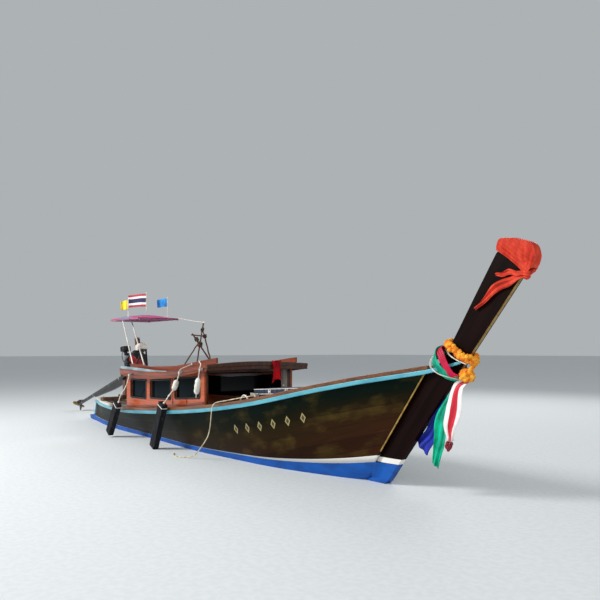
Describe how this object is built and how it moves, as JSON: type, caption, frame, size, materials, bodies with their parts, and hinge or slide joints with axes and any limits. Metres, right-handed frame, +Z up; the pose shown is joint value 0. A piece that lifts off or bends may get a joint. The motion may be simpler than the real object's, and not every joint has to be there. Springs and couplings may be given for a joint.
{
  "type": "longtail boat with a cabin",
  "caption": "Narrow wooden longtail boat with a varnished cabin, a tall raked stem dressed in cloth and garlands, and an engine with a long propeller shaft on a swivel at the stern.",
  "frame": {"origin": "on the centreline, amidships, at the waterline", "axes": "+X to the bow, +Y to port, +Z up"},
  "size_m": [14.3394, 2.1929, 3.2069],
  "materials": {
    "hull_paint": "gloss marine paint on wood, dark above and brown below",
    "bottom_paint": "satin bottom paint on wood",
    "rail_paint": "satin paint on wood",
    "cap_varnish": "varnished hardwood",
    "stem_varnish": "dark varnish with a gold strip",
    "cabin_varnish": "glossy orange varnish",
    "dark_wood": "dark varnished wood",
    "deck_paint": "worn grey deck paint",
    "tinted_glass": "dark tinted glass",
    "dark_steel": "worn black paint on steel",
    "cast_iron": "rough casting",
    "bright_steel": "brushed stainless",
    "bronze": "worn bronze",
    "red_paint": "gloss paint",
    "pale_tube": "pale painted tube",
    "white_paint": "white moulded plastic",
    "white_float": "weathered white foam float",
    "black_rubber": "matt black rubber",
    "navy_vinyl": "navy vinyl with white piping",
    "rope": "weathered natural rope",
    "pink_cloth": "sun-bleached pink cloth",
    "red_cloth": "red cloth",
    "coral_cloth": "coral gauze",
    "crimson_cloth": "crimson satin ribbon",
    "streamer_cloth": "green, white, red and violet satin",
    "flag_stripes": "striped flag cloth",
    "yellow_cloth": "yellow flag cloth",
    "blue_cloth": "blue flag cloth",
    "marigold": "garland of orange and yellow flowers"
  },
  "bodies": {
    "hull": {"hull_bottom": "bottom_paint", "keel": "bottom_paint", "hull_side_starboard": "hull_paint", "hull_side_port": "hull_paint", "transom": "hull_paint", "stern_step": "bottom_paint", "rub_rail_starboard": "rail_paint", "gunwale_cap_starboard": "cap_varnish", "rub_rail_port": "rail_paint", "gunwale_cap_port": "cap_varnish", "stern_strut": "rail_paint", "stem_post": "stem_varnish", "foredeck": "deck_paint", "aft_deck": "deck_paint", "cabin_floor": "deck_paint", "cabin_wall_starboard": "cabin_varnish", "glazing_starboard": "tinted_glass", "cabin_wall_port": "cabin_varnish", "glazing_port": "tinted_glass", "roof_panel": "cabin_varnish", "roof_fascia": "cabin_varnish", "roof_fascia_front": "dark_wood", "roof_rail_starboard": "cabin_varnish", "roof_rail_port": "cabin_varnish", "cabin_header": "dark_wood", "cabin_panel_aft": "cabin_varnish", "cabin_bench": "dark_wood", "deck_cushion": "navy_vinyl", "mooring_cleat": "bright_steel", "mooring_rope": "rope", "fender_fore_starboard": "black_rubber", "fender_fore_port": "black_rubber", "fender_aft_starboard": "black_rubber", "fender_aft_port": "black_rubber", "hung_float": "white_float", "engine_post": "dark_wood", "shade_frame": "pale_tube", "shade_canopy": "pink_cloth", "flag_national": "flag_stripes", "flag_yellow": "yellow_cloth", "flag_blue": "blue_cloth", "roof_poles": "dark_wood", "shade_stay": "rope", "stem_ribbons": "crimson_cloth", "garland": "marigold", "streamers": "streamer_cloth", "tip_cloth": "coral_cloth", "roof_cloth": "red_cloth"},
    "swivel": {"swivel_yoke": "dark_steel"},
    "tail": {"tail_tube": "dark_steel", "engine_frame": "dark_steel", "engine_block": "cast_iron", "exhaust": "cast_iron", "air_cleaner": "dark_steel", "belt_guard": "red_paint", "fuel_tank": "white_paint"},
    "propeller": {"propeller": "bronze"}
  },
  "joints": [
    {"name": "tail_swivel", "type": "hinge", "parent": "hull", "child": "swivel", "pos_m": [-3.62, 0, 1.113], "axis": [0, 0, 1], "range_deg": [-40, 52]},
    {"name": "tail_tilt", "type": "hinge", "parent": "swivel", "child": "tail", "pos_m": [-3.62, 0, 1.113], "axis": [0.1011, 0.9949, 0], "range_deg": [-3, 16]},
    {"name": "propeller_spin", "type": "hinge", "parent": "tail", "child": "propeller", "pos_m": [-3.62, 0, 1.113], "axis": [0.9713, -0.0987, 0.2164], "continuous": true}
  ]
}
